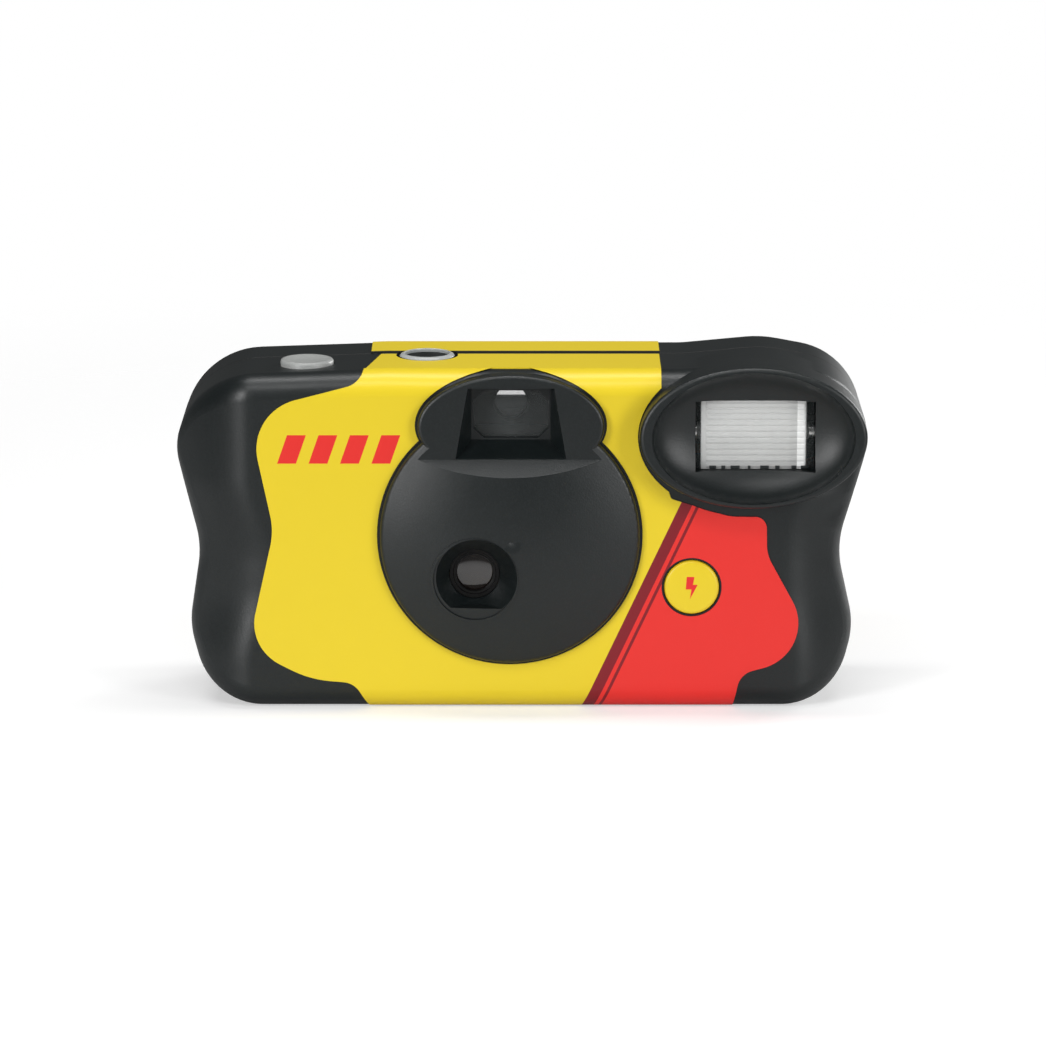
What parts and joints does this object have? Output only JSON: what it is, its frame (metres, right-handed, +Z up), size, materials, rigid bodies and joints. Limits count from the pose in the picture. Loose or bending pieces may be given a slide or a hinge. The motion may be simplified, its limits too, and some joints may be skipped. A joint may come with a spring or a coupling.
{
  "type": "disposable film camera",
  "caption": "Pocket film camera with a round lens hub, flash in an oval dish, viewfinder, top shutter button and thumbwheel film advance.",
  "frame": {"origin": "middle of the base, on the surface that the camera stands on", "axes": "+Z up, the lens faces -Y, +X to the right as one looks at the lens"},
  "size_m": [0.1196, 0.0376, 0.0612],
  "materials": {
    "casing_plastic": "fine texture",
    "frame_plastic": "satin",
    "label_print": "printed, semi-gloss",
    "button_grey": "satin",
    "button_yellow": "printed, semi-gloss",
    "wheel_plastic": "satin",
    "counter_white": "printed",
    "clear_plastic": "polished",
    "tube_glass": "polished",
    "spring_steel": "bright",
    "blackened_metal": "matte black",
    "bright_metal": "bright",
    "cartridge_metal": "semi-gloss",
    "felt": "felt",
    "film": "gloss",
    "board": "laminate",
    "component_black": "satin",
    "battery_wrap": "semi-gloss"
  },
  "bodies": {
    "camera": {"battery_can": "battery_wrap", "battery_contact_negative": "spring_steel", "battery_contact_positive": "spring_steel", "battery_terminal": "bright_metal", "board_components": "component_black", "button_spring": "spring_steel", "cartridge_cap_bottom": "cartridge_metal", "cartridge_cap_top": "cartridge_metal", "cartridge_felt": "felt", "cartridge_shell": "cartridge_metal", "counter_window": "clear_plastic", "film_strip": "film", "flash_capacitor": "component_black", "flash_circuit_board": "board", "flash_reflector": "bright_metal", "flash_switch_blade": "spring_steel", "flash_transformer": "component_black", "flash_tube": "tube_glass", "flash_tube_electrodes": "bright_metal", "flash_window": "clear_plastic", "front_cover": "casing_plastic", "front_label": "label_print", "lens_mount": "frame_plastic", "lens_retainer": "blackened_metal", "main_frame": "frame_plastic", "mechanism_plate": "frame_plastic", "metering_spring": "spring_steel", "ready_lamp": "tube_glass", "ready_light_window": "clear_plastic", "rear_cover": "casing_plastic", "rear_label": "label_print", "shutter_spring": "spring_steel", "striker_spring": "spring_steel", "sync_contacts": "spring_steel", "taking_lens": "clear_plastic", "trigger_coil": "component_black", "viewfinder_eyepiece": "clear_plastic", "viewfinder_front_lens": "clear_plastic", "viewfinder_rear_lens": "clear_plastic"},
    "winder": {"thumbwheel": "wheel_plastic", "cartridge_spool": "frame_plastic"},
    "supply": {"supply_spool": "frame_plastic", "film_roll": "film"},
    "sprocket": {"sprocket_wheel": "frame_plastic", "shutter_cam": "frame_plastic"},
    "counter": {"counter_wheel": "counter_white"},
    "release": {"shutter_button": "button_grey"},
    "flash_switch": {"flash_button": "button_yellow"},
    "blade": {"shutter_blade": "blackened_metal"},
    "striker": {"striker_lever": "frame_plastic"},
    "metering": {"metering_lever": "frame_plastic"}
  },
  "joints": [
    {"name": "winder_spin", "type": "hinge", "parent": "camera", "child": "winder", "pos_m": [-0.03965, 0.0036, 0.04695], "axis": [0, 0, 1], "continuous": true},
    {"name": "supply_spin", "type": "hinge", "parent": "camera", "child": "supply", "pos_m": [0.0429, 0.0059, 0.02405], "axis": [0, 0, 1], "continuous": true},
    {"name": "sprocket_spin", "type": "hinge", "parent": "camera", "child": "sprocket", "pos_m": [-0.0186, 0.00775, 0.03815], "axis": [0, 0, 1], "continuous": true},
    {"name": "counter_spin", "type": "hinge", "parent": "camera", "child": "counter", "pos_m": [-0.0203, 0.0036, 0.0557], "axis": [0, 0, 1], "continuous": true},
    {"name": "shutter_press", "type": "slide", "parent": "camera", "child": "release", "axis": [0, 0, -1], "range_m": [0, 0.0009], "stiffness_N_per_m": 600, "springref_m": -0.0008, "deforming": ["button_spring"]},
    {"name": "flash_press", "type": "slide", "parent": "camera", "child": "flash_switch", "axis": [0, 1, 0], "range_m": [0, 0.0008], "stiffness_N_per_m": 500, "springref_m": -0.0005},
    {"name": "blade_swing", "type": "hinge", "parent": "camera", "child": "blade", "pos_m": [-0.0165, -0.0078, 0.03375], "axis": [0, 1, 0], "range_deg": [0, 28], "stiffness_Nm_per_rad": 0.0005, "springref_deg": -22.92},
    {"name": "striker_swing", "type": "hinge", "parent": "camera", "child": "striker", "pos_m": [-0.0228, -0.0038, 0.04765], "axis": [0, 0, 1], "range_deg": [-30, 0], "stiffness_Nm_per_rad": 0.002, "springref_deg": 28.65},
    {"name": "metering_swing", "type": "hinge", "parent": "camera", "child": "metering", "pos_m": [-0.02675, 0.0095, 0.05045], "axis": [0, 0, 1], "range_deg": [0, 8], "stiffness_Nm_per_rad": 0.002, "springref_deg": -17.19}
  ],
  "couplings": [
    {"joint": "supply_spin", "follows": "winder_spin", "ratio": 0.66},
    {"joint": "sprocket_spin", "follows": "winder_spin", "ratio": 0.94},
    {"joint": "counter_spin", "follows": "winder_spin", "ratio": -0.039}
  ]
}
